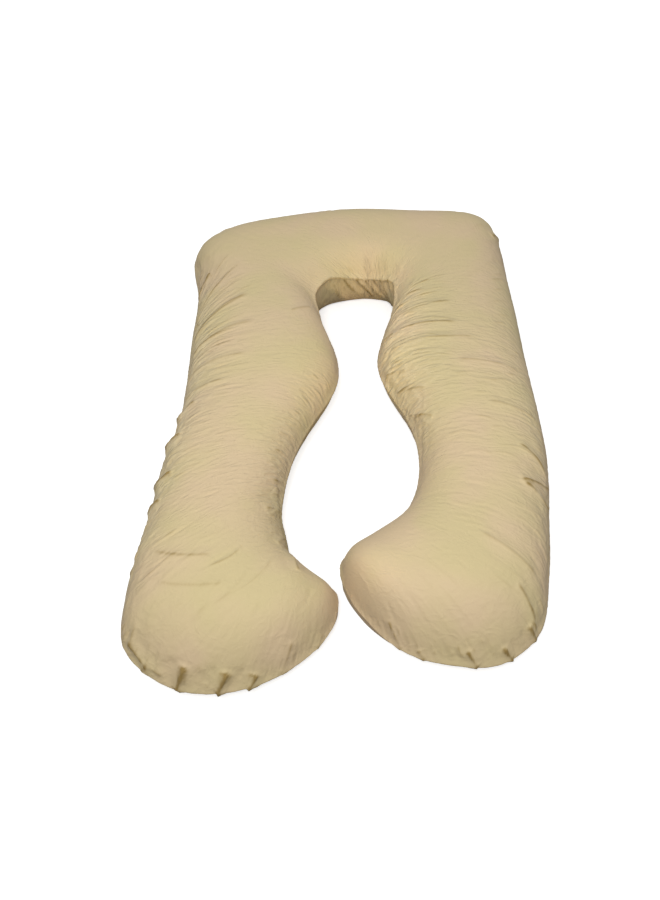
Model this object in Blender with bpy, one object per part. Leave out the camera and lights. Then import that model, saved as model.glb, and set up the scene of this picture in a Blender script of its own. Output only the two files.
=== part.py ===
"""U-shaped pregnancy pillow, lying on its back.

The cover is two U-shaped panels, one above and one below, sewn together along their edge and filled
with loose fibre, so the pillow is one closed, filled solid. Its frame has +Z up and +Y towards the
head end, with the origin on the surface it lies on, under the middle of its bounding box.
"""

import math
from collections import namedtuple

import bmesh
import bpy
import numpy as np

MM = 0.001

# Driving dimensions
FULL_WIDTH = 260 * MM        # a section at least this wide is filled to its whole height
CONTACT_SHARE = 0.56         # share of a section's width that lies flat on the surface
CROWN_ROUND = 0.52           # how round the top's sides are, 0.5 being upright at the seam
ROLL_POWER = 2.1             # how round the underside is between the seam and the flat
UNDER_FILL = 1.12            # the underside is flat as far into the toes as this fill presses it
SEAM_PINCH = 3 * MM          # the seam is drawn in by its stitches
PINCH_REACH = 14 * MM        # and how far above and below it the cloth is drawn in
FOLD_FADE = 26 * MM          # a fold dies away in this height above the surface
TIP_FADE = 50 * MM           # and in this distance from a toe's tip

# One section of the U in each row, from the left toe round the head to the right toe. Inner and outer
# are the two ends of the section at the seam, seen from above, and seam and crown are the heights of
# its edge and its top, all in mm. The walls say how upright the cloth stands on the inner and the outer
# side, 2.5 being a round side.
Section = namedtuple("Section", "name inner_x inner_y outer_x outer_y seam crown inner_wall outer_wall")
SECTIONS = (
    Section("left toe tip", -16, -554, -16, -554, 52, 52, 2.4, 2.4),
    Section("left toe", -34, -519, -34, -612, 53, 132, 2.4, 2.4),
    Section("left ball", -66, -498, -74, -660, 55, 162, 2.4, 2.3),
    Section("left instep", -92, -479, -138, -710, 57, 178, 2.4, 2.2),
    Section("left sole", -112, -453, -228, -749, 59, 189, 2.5, 2.2),
    Section("left heel side", -124, -427, -328, -752, 61, 194, 2.5, 2.2),
    Section("left heel", -133, -400, -406, -717, 64, 196, 2.5, 2.3),
    Section("left heel top", -139, -372, -449, -660, 68, 197, 2.5, 2.4),
    Section("left ankle", -144, -340, -456, -585, 73, 196, 2.5, 2.5),
    Section("left calf low", -142, -275, -443, -460, 79, 193, 2.5, 2.5),
    Section("left calf", -132, -213, -427, -340, 84, 190, 2.5, 2.5),
    Section("left shin", -106, -122, -411, -190, 84, 189, 2.5, 2.5),
    Section("left knee", -65, -30, -388, -60, 84, 190, 2.5, 2.5),
    Section("left thigh", -28, 50, -381, 45, 84, 193, 2.5, 2.5),
    Section("left hip", -18, 120, -380, 130, 84, 195, 2.5, 2.5),
    Section("left waist", -32, 205, -380, 225, 84, 193, 2.8, 2.5),
    Section("left shoulder", -52, 272, -382, 325, 84, 189, 3.2, 2.5),
    Section("left neck", -59, 330, -388, 430, 84, 186, 4.0, 2.5),
    Section("left corner", -43, 380, -394, 548, 84, 184, 5.0, 2.5),
    Section("left head", -14, 412, -352, 627, 84, 183, 6.0, 2.5),
    Section("head left", 24, 431, -185, 684, 84, 183, 6.0, 2.5),
    Section("head middle", 66, 432, 40, 727, 84, 184, 6.0, 2.5),
    Section("head right", 101, 414, 245, 721, 84, 184, 6.0, 2.5),
    Section("right head", 122, 376, 397, 699, 84, 184, 5.5, 2.5),
    Section("right corner", 125, 325, 431, 600, 84, 184, 4.5, 2.5),
    Section("right neck", 116, 270, 436, 465, 84, 186, 3.6, 2.5),
    Section("right shoulder", 96, 200, 443, 320, 84, 190, 3.0, 2.5),
    Section("right waist", 88, 128, 446, 195, 84, 194, 2.7, 2.5),
    Section("right hip", 106, 50, 451, 85, 84, 195, 2.5, 2.5),
    Section("right thigh", 137, -22, 456, -20, 84, 194, 2.5, 2.5),
    Section("right knee", 160, -98, 458, -125, 84, 191, 2.5, 2.5),
    Section("right shin", 170, -180, 453, -235, 84, 190, 2.5, 2.5),
    Section("right calf", 163, -260, 441, -350, 84, 190, 2.5, 2.5),
    Section("right calf low", 146, -316, 430, -450, 79, 192, 2.5, 2.5),
    Section("right ankle", 118, -362, 415, -545, 73, 195, 2.5, 2.5),
    Section("right heel top", 85, -382, 398, -617, 68, 196, 2.5, 2.4),
    Section("right heel", 56, -397, 357, -665, 64, 196, 2.5, 2.3),
    Section("right heel side", 30, -410, 303, -693, 61, 194, 2.5, 2.2),
    Section("right sole", 5, -430, 240, -702, 59, 189, 2.5, 2.2),
    Section("right instep", -11, -453, 172, -688, 57, 178, 2.4, 2.2),
    Section("right ball", -15, -480, 115, -648, 55, 162, 2.4, 2.2),
    Section("right toe", -6, -511, 70, -586, 53, 132, 2.4, 2.3),
    Section("right toe tip", 14, -541, 14, -541, 52, 52, 2.4, 2.4),
)

# How closely the sections are cut, from the first mm along the pillow to the last. A foot's and a
# corner's outer edge is several times longer than its inner one, so their steps are shorter.
Stretch = namedtuple("Stretch", "name first last step")
STRETCHES = (
    Stretch("left toe cap", 0, 60, 10),
    Stretch("left foot", 60, 420, 10),
    Stretch("left leg", 420, 1300, 17),
    Stretch("head", 1300, 2080, 15),
    Stretch("right leg", 2080, 2900, 17),
    Stretch("right foot", 2900, 3285, 10),
    Stretch("right toe cap", 3285, 3345, 10),
)

# Points of one section, in degrees round it: 0 is the inner seam, 90 the top, 180 the outer seam
# and 270 the middle of the underside.
TOP_AROUND = (0, 9, 19, 31, 45, 60, 75, 90, 105, 120, 135, 149, 161, 171)
UNDER_AROUND = (180, 192, 206, 224, 250, 290, 316, 334, 348)
AROUND = TOP_AROUND + UNDER_AROUND

# The main folds. Each runs straight over the cloth between two places, given in mm along the pillow
# and degrees round it. Width is from its middle to its side and depth is how far it goes in, both in
# mm, and a negative depth stands out.
Fold = namedtuple("Fold", "name along around to_along to_around width depth")
FOLDS = (
    Fold("neck gather first", 1560, 30, 1650, -14, 15, 4),
    Fold("neck gather left", 1650, 34, 1730, -12, 14, 6),
    Fold("neck gather middle", 1715, 38, 1800, -8, 14, 8),
    Fold("neck gather right", 1785, 44, 1860, -4, 13, 9),
    Fold("neck gather corner", 1850, 48, 1900, 2, 13, 9),
    Fold("neck gather last", 1925, 50, 1940, 6, 13, 7),
    Fold("left toe notch", 72, 150, 92, 178, 15, 7),
    Fold("left ball hollow", 139, 138, 158, 180, 24, 8),
    Fold("left sole tuck", 191, 158, 205, 184, 17, 8),
    Fold("left sole notch", 232, 150, 242, 182, 13, 10),
    Fold("left heel notch", 287, 148, 290, 181, 13, 10),
    Fold("left heel tuck", 340, 166, 346, 182, 16, 6),
    Fold("left heel crease", 306, 168, 385, 164, 12, 6),
    Fold("left instep crease", 153, 64, 200, 36, 12, 5),
    Fold("left ankle crease", 287, 38, 340, 10, 13, 6),
    Fold("left calf crease", 430, 38, 460, 6, 13, 6),
    Fold("left calf cross", 473, 132, 330, 78, 13, 5),
    Fold("left ankle cross", 400, 126, 268, 88, 13, 4),
    Fold("left knee tuck", 621, 172, 588, 118, 16, 7),
    Fold("left shin tuck", 676, 173, 640, 112, 16, 8),
    Fold("left knee swell", 722, 172, 716, 152, 24, -4),
    Fold("left thigh tuck", 776, 173, 752, 120, 16, 8),
    Fold("left thigh swell", 812, 170, 806, 156, 20, -3),
    Fold("left hip tuck", 850, 170, 872, 122, 16, 6),
    Fold("left hip sweep", 905, 168, 950, 96, 14, 5),
    Fold("left waist sweep", 968, 164, 1020, 88, 14, 5),
    Fold("left shoulder sweep low", 1036, 162, 1092, 84, 13, 5),
    Fold("left shoulder sweep", 1088, 164, 1172, 98, 13, 6),
    Fold("left neck sweep", 1147, 66, 1240, 32, 13, 5),
    Fold("left corner tuck", 1240, 172, 1296, 138, 14, 6),
    Fold("left corner swell", 1330, 170, 1336, 158, 24, -4),
    Fold("head crease", 1690, 158, 1700, 120, 15, 5),
    Fold("right corner swell", 1960, 172, 1964, 158, 22, -4),
    Fold("right corner tuck", 2010, 172, 2016, 142, 15, 5),
    Fold("right neck sweep", 2190, 26, 2226, 92, 13, 6),
    Fold("right shoulder sweep", 2258, 14, 2312, 98, 13, 6),
    Fold("right hip sweep", 2330, 20, 2372, 110, 13, 5),
    Fold("right hip crease", 2384, 8, 2430, 40, 14, 6),
    Fold("right thigh crease", 2456, 8, 2515, 48, 14, 7),
    Fold("right thigh sweep", 2470, 140, 2440, 80, 14, 5),
    Fold("right knee crease", 2542, 6, 2615, 44, 14, 6),
    Fold("right knee sweep", 2600, 160, 2580, 92, 14, 5),
    Fold("right calf star", 2747, 168, 2788, 118, 15, 7),
    Fold("right calf star high", 2735, 166, 2690, 116, 14, 5),
    Fold("right calf star low", 2800, 168, 2790, 122, 14, 5),
    Fold("right heel sweep", 2962, 92, 2962, 146, 13, 5),
    Fold("right heel ray", 3026, 122, 3052, 172, 13, 7),
    Fold("right heel notch", 3060, 148, 3054, 182, 14, 10),
    Fold("right sole notch", 3110, 152, 3098, 182, 14, 10),
    Fold("right instep notch", 3158, 152, 3154, 182, 14, 8),
    Fold("right instep tuck", 3192, 156, 3184, 182, 15, 6),
    Fold("right ball ray", 3232, 126, 3216, 180, 13, 7),
    Fold("right toe hollow", 3290, 138, 3278, 180, 18, 5),
)

# Fine cloth drawn up between the seams, as families of shallow ridges across the pillow. First and
# last are in mm along it, near and far in degrees round it, spacing and depth in mm, and lean is how
# many mm a ridge moves along between near and far.
Gather = namedtuple("Gather", "name first last near far spacing lean depth")
GATHERS = (
    Gather("neck wall", 1520, 1960, -14, 44, 40, 60, 2.2),
    Gather("left foot rim", 60, 400, 140, 184, 30, 8, 1.8),
    Gather("left calf", 400, 640, 50, 176, 46, -34, 1.6),
    Gather("left thigh", 620, 940, 40, 176, 44, 20, 2.0),
    Gather("left waist", 900, 1260, 30, 176, 46, -70, 1.8),
    Gather("right shoulder", 2100, 2440, 6, 150, 48, 60, 1.8),
    Gather("right thigh", 2400, 2720, 4, 176, 46, 30, 1.8),
    Gather("right calf", 2680, 2940, 60, 176, 44, -40, 1.6),
    Gather("right foot rim", 2960, 3290, 140, 184, 30, -8, 1.8),
)
GATHER_WANDER = 0.9          # radians by which a ridge wanders from its even place
GATHER_WANDER_LENGTH = 0.26  # and over what distance along the pillow, in m

# Where the filling has gathered or thinned, as broad swells of the cloth: place, reach and height.
Swell = namedtuple("Swell", "name along around reach height")
SWELLS = (
    Swell("left ball", 120, 96, 90, 4),
    Swell("left heel", 330, 118, 120, 5),
    Swell("left ankle", 470, 70, 90, -4),
    Swell("left calf", 600, 96, 110, 4),
    Swell("left knee", 760, 84, 90, -4),
    Swell("left hip", 980, 74, 120, 5),
    Swell("left waist", 1130, 112, 90, -3),
    Swell("left corner", 1330, 120, 130, 4),
    Swell("head left", 1500, 100, 100, -4),
    Swell("head middle", 1700, 110, 130, 4),
    Swell("right corner", 1960, 116, 130, 5),
    Swell("right shoulder", 2170, 92, 100, -4),
    Swell("right hip", 2370, 84, 130, 5),
    Swell("right knee", 2580, 96, 90, -3),
    Swell("right calf", 2740, 100, 110, 3),
    Swell("right ankle", 2900, 76, 90, -4),
    Swell("right heel", 3050, 112, 120, 5),
    Swell("right ball", 3220, 100, 90, 3),
)

# Khaki cotton, read from the cloth in full light
CLOTH_COLOUR = (0.64, 0.52, 0.33, 1.0)
CLOTH_ROUGHNESS = 0.85


def rail_table():
    """The closed loop of seam places with crowns and walls, and how far along the pillow each is."""
    units = np.array((MM, MM, MM, MM, 1.0))
    inner = np.array([(s.inner_x, s.inner_y, s.seam, s.crown, s.inner_wall) for s in SECTIONS]) * units
    outer = np.array([(s.outer_x, s.outer_y, s.seam, s.crown, s.outer_wall) for s in SECTIONS]) * units
    inner_steps = np.linalg.norm(np.diff(inner[:, :2], axis=0), axis=1)
    outer_steps = np.linalg.norm(np.diff(outer[:, :2], axis=0), axis=1)
    along = np.concatenate(([0.0], np.cumsum((inner_steps + outer_steps) / 2)))
    loop = np.concatenate((inner, outer[-2:0:-1]))
    knots = np.concatenate((along, 2 * along[-1] - along[-2:0:-1]))
    return loop, knots, along[-1]


def curvatures(values, spans):
    """Second derivatives at the knots of the closed cubic spline through values."""
    count = len(spans)
    slopes = (np.roll(values, -1, axis=0) - values) / spans[:, None]
    system = np.zeros((count, count))
    for i in range(count):
        system[i, i - 1] += spans[i - 1]
        system[i, i] += 2 * (spans[i - 1] + spans[i])
        system[i, (i + 1) % count] += spans[i]
    return np.linalg.solve(system, 6 * (slopes - np.roll(slopes, 1, axis=0)))


LOOP, KNOTS, LENGTH = rail_table()
SPANS = np.diff(np.append(KNOTS, 2 * LENGTH))
BENDS = curvatures(LOOP, SPANS)


def loop_at(where):
    """Seam place and height, crown and wall at distances round the loop, by the closed cubic spline."""
    where = np.mod(where, 2 * LENGTH)
    start = np.clip(np.searchsorted(KNOTS, where, side="right") - 1, 0, len(KNOTS) - 1)
    end = (start + 1) % len(KNOTS)
    span = SPANS[start][:, None]
    past = (where - KNOTS[start])[:, None]
    left = span - past
    bend = (BENDS[start] * left**3 + BENDS[end] * past**3) / (6 * span)
    return (
        bend
        + (LOOP[start] / span - BENDS[start] * span / 6) * left
        + (LOOP[end] / span - BENDS[end] * span / 6) * past
    )


def smooth_form(along, around):
    """The filled form with no folds, at distances along the pillow in m and angles round it in radians."""
    inner, outer = loop_at(along), loop_at(2 * LENGTH - along)
    middle, half = (inner[:, :2] + outer[:, :2]) / 2, (outer[:, :2] - inner[:, :2]) / 2
    across = -np.cos(around)
    share = np.minimum(1.0, 2 * np.linalg.norm(half, axis=1) / FULL_WIDTH)
    fill = np.sqrt(np.clip(1 - (1 - share) ** 2, 0, 1))
    out = np.abs(across)

    seam, crown = (inner[:, 2:4] + outer[:, 2:4]).T / 2
    power = np.where(across < 0, inner[:, 4], outer[:, 4])
    top = seam + (crown - seam) * fill * np.clip(1 - out**power, 0, 1) ** CROWN_ROUND
    roll = np.clip((out - CONTACT_SHARE) / (1 - CONTACT_SHARE), 0, 1)
    drop = seam * np.minimum(1.0, UNDER_FILL * fill)
    under = seam - drop * np.sqrt(np.clip(1 - roll**ROLL_POWER, 0, 1))

    height = np.where(np.sin(around) >= 0, top, under)
    return np.column_stack((middle + half * across[:, None], height))


def outward(along, around):
    """Unit normals of the smooth form, pointing out of the pillow."""
    step, turn = 2 * MM, math.radians(1.0)
    ahead = smooth_form(along + step, around) - smooth_form(along - step, around)
    round_it = smooth_form(along, around + turn) - smooth_form(along, around - turn)
    normal = np.cross(round_it, ahead)
    return normal / np.maximum(np.linalg.norm(normal, axis=1), 1e-12)[:, None]


def place_of(along_mm, around_degrees):
    return smooth_form(np.array([along_mm * MM]), np.array([math.radians(around_degrees)]))[0]


def fold_height(points):
    """How far the folds and swells move each point of the smooth form out, in m."""
    height = np.zeros(len(points))
    for fold in FOLDS:
        start = place_of(fold.along, fold.around)
        run = place_of(fold.to_along, fold.to_around) - start
        share = np.clip((points - start) @ run / (run @ run), 0, 1)
        gap = np.linalg.norm(points - start - share[:, None] * run, axis=1)
        height -= fold.depth * MM * np.exp(-((gap / (fold.width * MM)) ** 2))
    for swell in SWELLS:
        gap = np.linalg.norm(points - place_of(swell.along, swell.around), axis=1)
        height += swell.height * MM * np.exp(-((gap / (swell.reach * MM)) ** 2))
    return height


def gather_height(along, around):
    """How far the gathers move each point out, in m, fading to nothing at their four sides."""
    degrees = (np.degrees(around) + 90) % 360 - 90
    wander = GATHER_WANDER * np.sin(2 * math.pi * along / GATHER_WANDER_LENGTH + 3 * np.sin(around))
    height = np.zeros(len(along))
    for gather in GATHERS:
        share_along = np.clip((along / MM - gather.first) / (gather.last - gather.first), 0, 1)
        share_round = np.clip((degrees - gather.near) / (gather.far - gather.near), 0, 1)
        fade = (16 * share_along * (1 - share_along) * share_round * (1 - share_round)) ** 0.6
        place = (along - gather.lean * MM * share_round) / (gather.spacing * MM)
        height += gather.depth * MM * fade * np.cos(2 * math.pi * place + wander)
    return height


def fade_in(share):
    """A smooth rise from 0 to 1 as share goes from 0 to 1."""
    share = np.clip(share, 0, 1)
    return share**2 * (3 - 2 * share)


def cloth_form(along, around):
    """The pillow's surface: the smooth form with its folds, swells, gathers and drawn-in seam."""
    points = smooth_form(along, around)
    at_side = np.abs(np.cos(around)) > CONTACT_SHARE
    seam = (loop_at(along)[:, 2] + loop_at(2 * LENGTH - along)[:, 2]) / 2
    at_seam = np.exp(-(((points[:, 2] - seam) / PINCH_REACH) ** 2)) * at_side
    raised = fold_height(points) + gather_height(along, around)
    move = raised * fade_in(points[:, 2] / FOLD_FADE) - SEAM_PINCH * at_seam
    move *= fade_in(np.minimum(along, LENGTH - along) / TIP_FADE)
    moved = points + outward(along, around) * move[:, None]
    moved[:, 2] = np.maximum(moved[:, 2], 0.0)
    return moved


def ring_places():
    """Distances along the pillow of its rings, without the two toe tips."""
    places = []
    for stretch in STRETCHES:
        count = round((stretch.last - stretch.first) / stretch.step)
        places.append(np.linspace(stretch.first, stretch.last, count, endpoint=False))
    share = np.concatenate(places)[1:] / STRETCHES[-1].last
    return share * LENGTH


def rings_of_cloth():
    """Points of every ring, and the two toe tips, centred over the origin."""
    along = ring_places()
    around = np.radians(AROUND)
    grid_along, grid_around = np.meshgrid(along, around, indexing="ij")
    rings = cloth_form(grid_along.ravel(), grid_around.ravel())
    tips = smooth_form(np.array([0.0, LENGTH]), np.zeros(2))
    everything = np.concatenate((rings, tips))
    centre = (everything.min(axis=0) + everything.max(axis=0)) / 2
    shift = np.array([centre[0], centre[1], 0.0])
    return (rings - shift).reshape(len(along), len(around), 3), tips - shift


def build_pillow():
    rings, tips = rings_of_cloth()
    mesh = bpy.data.meshes.new("pillow")
    shape = bmesh.new()
    first_tip, last_tip = [shape.verts.new(tip) for tip in tips]
    loops = [[shape.verts.new(point) for point in ring] for ring in rings]

    count = len(AROUND)
    for ring, following in zip(loops, loops[1:]):
        for i in range(count):
            j = (i + 1) % count
            shape.faces.new((ring[i], ring[j], following[j], following[i]))
    for i in range(count):
        j = (i + 1) % count
        shape.faces.new((first_tip, loops[0][j], loops[0][i]))
        shape.faces.new((last_tip, loops[-1][i], loops[-1][j]))

    bmesh.ops.recalc_face_normals(shape, faces=shape.faces)
    bmesh.ops.triangulate(shape, faces=shape.faces)
    shape.to_mesh(mesh)
    shape.free()
    mesh.shade_smooth()
    pillow = bpy.data.objects.new("pillow", mesh)
    bpy.context.scene.collection.objects.link(pillow)
    return pillow


def khaki_cotton():
    material = bpy.data.materials.new("khaki cotton")
    material.use_nodes = True
    shader = material.node_tree.nodes["Principled BSDF"]
    shader.inputs["Base Color"].default_value = CLOTH_COLOUR
    shader.inputs["Roughness"].default_value = CLOTH_ROUGHNESS
    shader.inputs["Metallic"].default_value = 0.0
    material.diffuse_color = CLOTH_COLOUR
    return material


for old in list(bpy.data.objects):
    bpy.data.objects.remove(old)
build_pillow().data.materials.append(khaki_cotton())
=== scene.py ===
# A U-shaped pregnancy pillow in plain khaki cotton, lying on its back on a pale floor.
import math

import bpy
import numpy as np
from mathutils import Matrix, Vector


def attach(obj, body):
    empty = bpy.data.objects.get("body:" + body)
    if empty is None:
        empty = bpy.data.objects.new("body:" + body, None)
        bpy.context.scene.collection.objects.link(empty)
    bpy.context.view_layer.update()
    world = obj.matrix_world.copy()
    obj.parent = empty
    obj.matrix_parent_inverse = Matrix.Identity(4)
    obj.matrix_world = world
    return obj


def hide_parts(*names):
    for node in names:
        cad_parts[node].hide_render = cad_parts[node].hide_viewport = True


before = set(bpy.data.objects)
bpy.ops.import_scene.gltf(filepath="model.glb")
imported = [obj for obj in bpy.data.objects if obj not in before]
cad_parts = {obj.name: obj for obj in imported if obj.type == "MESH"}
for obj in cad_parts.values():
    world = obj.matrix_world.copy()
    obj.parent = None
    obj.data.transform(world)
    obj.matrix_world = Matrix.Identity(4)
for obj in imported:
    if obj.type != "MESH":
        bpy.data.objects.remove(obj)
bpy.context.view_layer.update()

scene = bpy.context.scene
mm = 0.001


# The filled form. One row for each section, from the left toe round the head to the right toe, in mm: its two
# seam ends seen from above (x, y, x, y), the heights of the inner seam, the outer seam and the crown, how
# upright its inner and outer sides stand, and the power that each side closes with. 0.52 makes a round side,
# 0.8 a lens's sharp edge and 0.98 a corner of the neck arch, which has a crisp rim over an upright wall.
sections = {
    "left toe tip": (-18, -554, -18, -554, 46, 46, 46, 2.4, 2.4, 0.80, 0.80),
    "left toe": (-29, -511, -38, -607, 46, 46, 102, 2.4, 2.4, 0.72, 0.80),
    "left ball": (-61, -487, -76, -659, 47, 47, 140, 2.4, 2.3, 0.62, 0.80),
    "left instep": (-88, -469, -137, -708, 48, 48, 166, 2.4, 2.2, 0.56, 0.80),
    "left sole": (-109, -446, -229, -745, 49, 49, 182, 2.5, 2.2, 0.52, 0.80),
    "left heel side": (-124, -425, -328, -744, 51, 51, 191, 2.5, 2.2, 0.52, 0.78),
    "left heel": (-131, -398, -400, -707, 55, 55, 196, 2.5, 2.3, 0.52, 0.72),
    "left heel top": (-137, -372, -446, -656, 62, 62, 197, 2.5, 2.4, 0.52, 0.64),
    "left ankle": (-144, -340, -456, -585, 70, 70, 196, 2.5, 2.5, 0.52, 0.56),
    "left calf low": (-142, -275, -446, -460, 79, 79, 193, 2.5, 2.5, 0.52, 0.52),
    "left calf": (-132, -213, -427, -340, 84, 84, 190, 2.5, 2.5, 0.52, 0.52),
    "left shin": (-106, -122, -412, -190, 84, 84, 189, 2.5, 2.5, 0.52, 0.52),
    "left knee": (-65, -30, -388, -60, 84, 84, 190, 2.5, 2.5, 0.52, 0.52),
    "left thigh": (-28, 50, -381, 45, 84, 84, 193, 2.5, 2.5, 0.52, 0.52),
    "left hip": (-18, 120, -380, 130, 84, 84, 195, 2.5, 2.5, 0.52, 0.52),
    "left waist": (-32, 205, -380, 225, 84, 84, 193, 2.8, 2.5, 0.52, 0.52),
    "left shoulder": (-56, 272, -377, 325, 94, 84, 189, 3.2, 2.5, 0.52, 0.52),
    "left neck": (-70, 323, -382, 430, 113, 84, 186, 3.4, 2.5, 0.8, 0.52),
    "left corner": (-74, 365, -397, 560, 130, 84, 184, 3.8, 2.5, 0.98, 0.52),
    "left head": (-53, 401, -356, 623, 136, 84, 183, 4.0, 2.5, 0.97, 0.52),
    "head left": (-3, 434, -187, 690, 124, 84, 183, 4.0, 2.5, 0.91, 0.52),
    "head middle": (61, 445, 40, 728, 111, 84, 184, 4.0, 2.5, 0.88, 0.52),
    "head right": (108, 430, 245, 721, 120, 84, 184, 4.0, 2.5, 0.89, 0.52),
    "right head": (135, 387, 397, 699, 132, 84, 184, 4.0, 2.5, 0.95, 0.52),
    "right corner": (131, 327, 431, 600, 107, 84, 184, 3.8, 2.5, 0.7, 0.52),
    "right neck": (113, 270, 436, 465, 90, 84, 186, 3.6, 2.5, 0.54, 0.52),
    "right shoulder": (95, 200, 443, 320, 84, 84, 190, 3.0, 2.5, 0.52, 0.52),
    "right waist": (88, 128, 446, 195, 84, 84, 194, 2.7, 2.5, 0.52, 0.52),
    "right hip": (108, 50, 451, 85, 84, 84, 195, 2.5, 2.5, 0.52, 0.52),
    "right thigh": (141, -22, 456, -20, 84, 84, 194, 2.5, 2.5, 0.52, 0.52),
    "right knee": (164, -98, 458, -125, 84, 84, 191, 2.5, 2.5, 0.52, 0.52),
    "right shin": (173, -180, 453, -235, 84, 84, 190, 2.5, 2.5, 0.52, 0.52),
    "right calf": (163, -260, 439, -350, 84, 84, 190, 2.5, 2.5, 0.52, 0.52),
    "right calf low": (142, -313, 428, -450, 79, 79, 192, 2.5, 2.5, 0.52, 0.52),
    "right ankle": (110, -352, 412, -545, 70, 70, 195, 2.5, 2.5, 0.52, 0.56),
    "right heel top": (81, -372, 392, -613, 62, 62, 196, 2.5, 2.4, 0.52, 0.64),
    "right heel": (57, -387, 350, -660, 55, 55, 196, 2.5, 2.3, 0.52, 0.72),
    "right heel side": (34, -402, 290, -689, 51, 51, 192, 2.5, 2.2, 0.52, 0.78),
    "right sole": (14, -415, 215, -686, 49, 49, 186, 2.5, 2.2, 0.54, 0.80),
    "right instep": (-1, -427, 140, -666, 48, 48, 174, 2.4, 2.2, 0.62, 0.80),
    "right ball": (-9, -444, 82, -625, 47, 47, 152, 2.4, 2.2, 0.72, 0.80),
    "right toe": (-9, -462, 32, -563, 46, 46, 114, 2.4, 2.3, 0.80, 0.80),
    "right toe tip": (-5, -498, -5, -498, 46, 46, 46, 2.4, 2.4, 0.80, 0.80),
}

pillow = {
    "fullWidth": 260 * mm,     # a section this wide is filled to its whole height
    "roundPower": 0.52,        # the power that closes a round side
    "lensSpan": 0.28,          # and how much more of it makes an outer side a lens's edge
    "wallPower": 0.88,         # above this power an inner side's wall turns upright
    "wallSpan": 0.1,           # and it is upright when the power is this much more
    "contact": 0.56,           # share of the width that lies flat on the floor
    "lensLift": 0.14,          # and how much less of it does where the outer edge is a lens's
    "archContact": 0.24,       # and how much more of it does under an upright wall
    "rollPower": 1.9,          # how round the underside is
    "underFill": 1.12,         # how far the flat underside runs into the toes
    # rings of the fine surface: from, to and step, in mm along the pillow
    "rings": ((0, 420, 2.2), (420, 1300, 2.6), (1300, 2080, 3.0), (2080, 2900, 2.6), (2900, 3345, 2.2)),
    "topPoints": 124,          # points from the inner seam over the top to the outer seam
    # degrees round the underside, from the outer seam to the inner seam
    "underAngles": (180, 182, 185, 189, 194, 200, 207, 215, 223, 232, 243, 256,
                    270, 284, 297, 308, 317, 325, 330, 334, 337.5, 340.5, 343.5, 346, 348.5, 351, 353,
                    355, 356.5, 358, 359),
    "lensHold": 22 * mm,       # height over which the seam holds the folds at a lens's edge
    "holdSpan": 0.2,           # how far the power passes a round side's where it holds them whole
    "dipHeld": 0.4,            # the share of a fold's dip that it holds there
    "flatFade": 26 * mm,       # height over which folds die away towards the flat underside
    "tipFade": 40 * mm,        # and towards the two toe tips
}


# Second derivatives of the closed cubic spline through values, one for each knot
def splineBends(values, spans):
    count = len(spans)
    rows = np.arange(count)
    slopes = (np.roll(values, -1, axis=0) - values) / spans[:, None]
    system = np.zeros((count, count))
    system[rows, rows - 1] += np.roll(spans, 1)
    system[rows, rows] += 2 * (spans + np.roll(spans, 1))
    system[rows, (rows + 1) % count] += spans
    return np.linalg.solve(system, 6 * (slopes - np.roll(slopes, 1, axis=0)))


table = np.array(list(sections.values()), float)
unit = np.array((mm, mm, mm, mm, 1.0, 1.0))
innerRail = table[:, (0, 1, 4, 6, 7, 9)] * unit
outerRail = table[:, (2, 3, 5, 6, 8, 10)] * unit
steps = [np.linalg.norm(np.diff(rail[:, :2], axis=0), axis=1) for rail in (innerRail, outerRail)]
rowAlong = np.concatenate(([0.0], np.cumsum((steps[0] + steps[1]) / 2)))
length = rowAlong[-1]
loop = np.concatenate((innerRail, outerRail[-2:0:-1]))
knots = np.concatenate((rowAlong, 2 * length - rowAlong[-2:0:-1]))
spans = np.diff(np.append(knots, 2 * length))
bends = splineBends(loop, spans)


# A place on the seam's loop: the straight line between two rows plus the bend of the spline through all rows
def railAt(where):
    where = np.mod(where, 2 * length)
    start = np.clip(np.searchsorted(knots, where, side="right") - 1, 0, len(knots) - 1)
    end = (start + 1) % len(knots)
    span = spans[start][:, None]
    past = (where - knots[start])[:, None]
    left = span - past
    bend = (bends[start] * left**3 + bends[end] * past**3) / (6 * span)
    return bend + (loop[start] / span - bends[start] * span / 6) * left \
        + (loop[end] / span - bends[end] * span / 6) * past


# The filled form: a place between the two seams at minus the cosine of around, its height above the seam
# (1 - |cosine| ^ wall) ^ power of the crown's, and under the seam a rolled edge that ends flat on the floor,
# or a straighter one under a lens's edge
def filledForm(along, around):
    inner, outer = railAt(along), railAt(2 * length - along)
    middle, half = (inner[:, :2] + outer[:, :2]) / 2, (outer[:, :2] - inner[:, :2]) / 2
    across = -np.cos(around)
    out = np.abs(across)
    share = np.minimum(1.0, 2 * np.linalg.norm(half, axis=1) / pillow["fullWidth"])
    fill = np.sqrt(np.clip(1 - (1 - share) ** 2, 0, 1))
    seam = inner[:, 2] + (outer[:, 2] - inner[:, 2]) * (1 + across) / 2
    crown = (inner[:, 3] + outer[:, 3]) / 2
    wall, power = np.where(across < 0, inner[:, 4:].T, outer[:, 4:].T)
    top = seam + (crown - seam) * fill * np.clip(1 - out**wall, 0, 1) ** power
    lens = np.where(across < 0, 0.0, (power - pillow["roundPower"]) / pillow["lensSpan"])
    upright = np.where(across < 0, np.clip((power - pillow["wallPower"]) / pillow["wallSpan"], 0, 1), 0.0)
    contact = pillow["contact"] - pillow["lensLift"] * lens + pillow["archContact"] * upright
    roll = np.clip((out - contact) / (1 - contact), 0, 1)
    drop = seam * np.minimum(1.0, pillow["underFill"] * fill)
    under = seam - drop * np.clip(1 - roll ** pillow["rollPower"], 0, 1) ** (0.5 + 0.5 * lens)
    height = np.where(np.sin(around) >= 0, top, under)
    return np.column_stack((middle + half * across[:, None], height))


# A smooth rise from 0 to 1
def smoothStep(share):
    share = np.clip(share, 0, 1)
    return share**2 * (3 - 2 * share)


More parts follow.
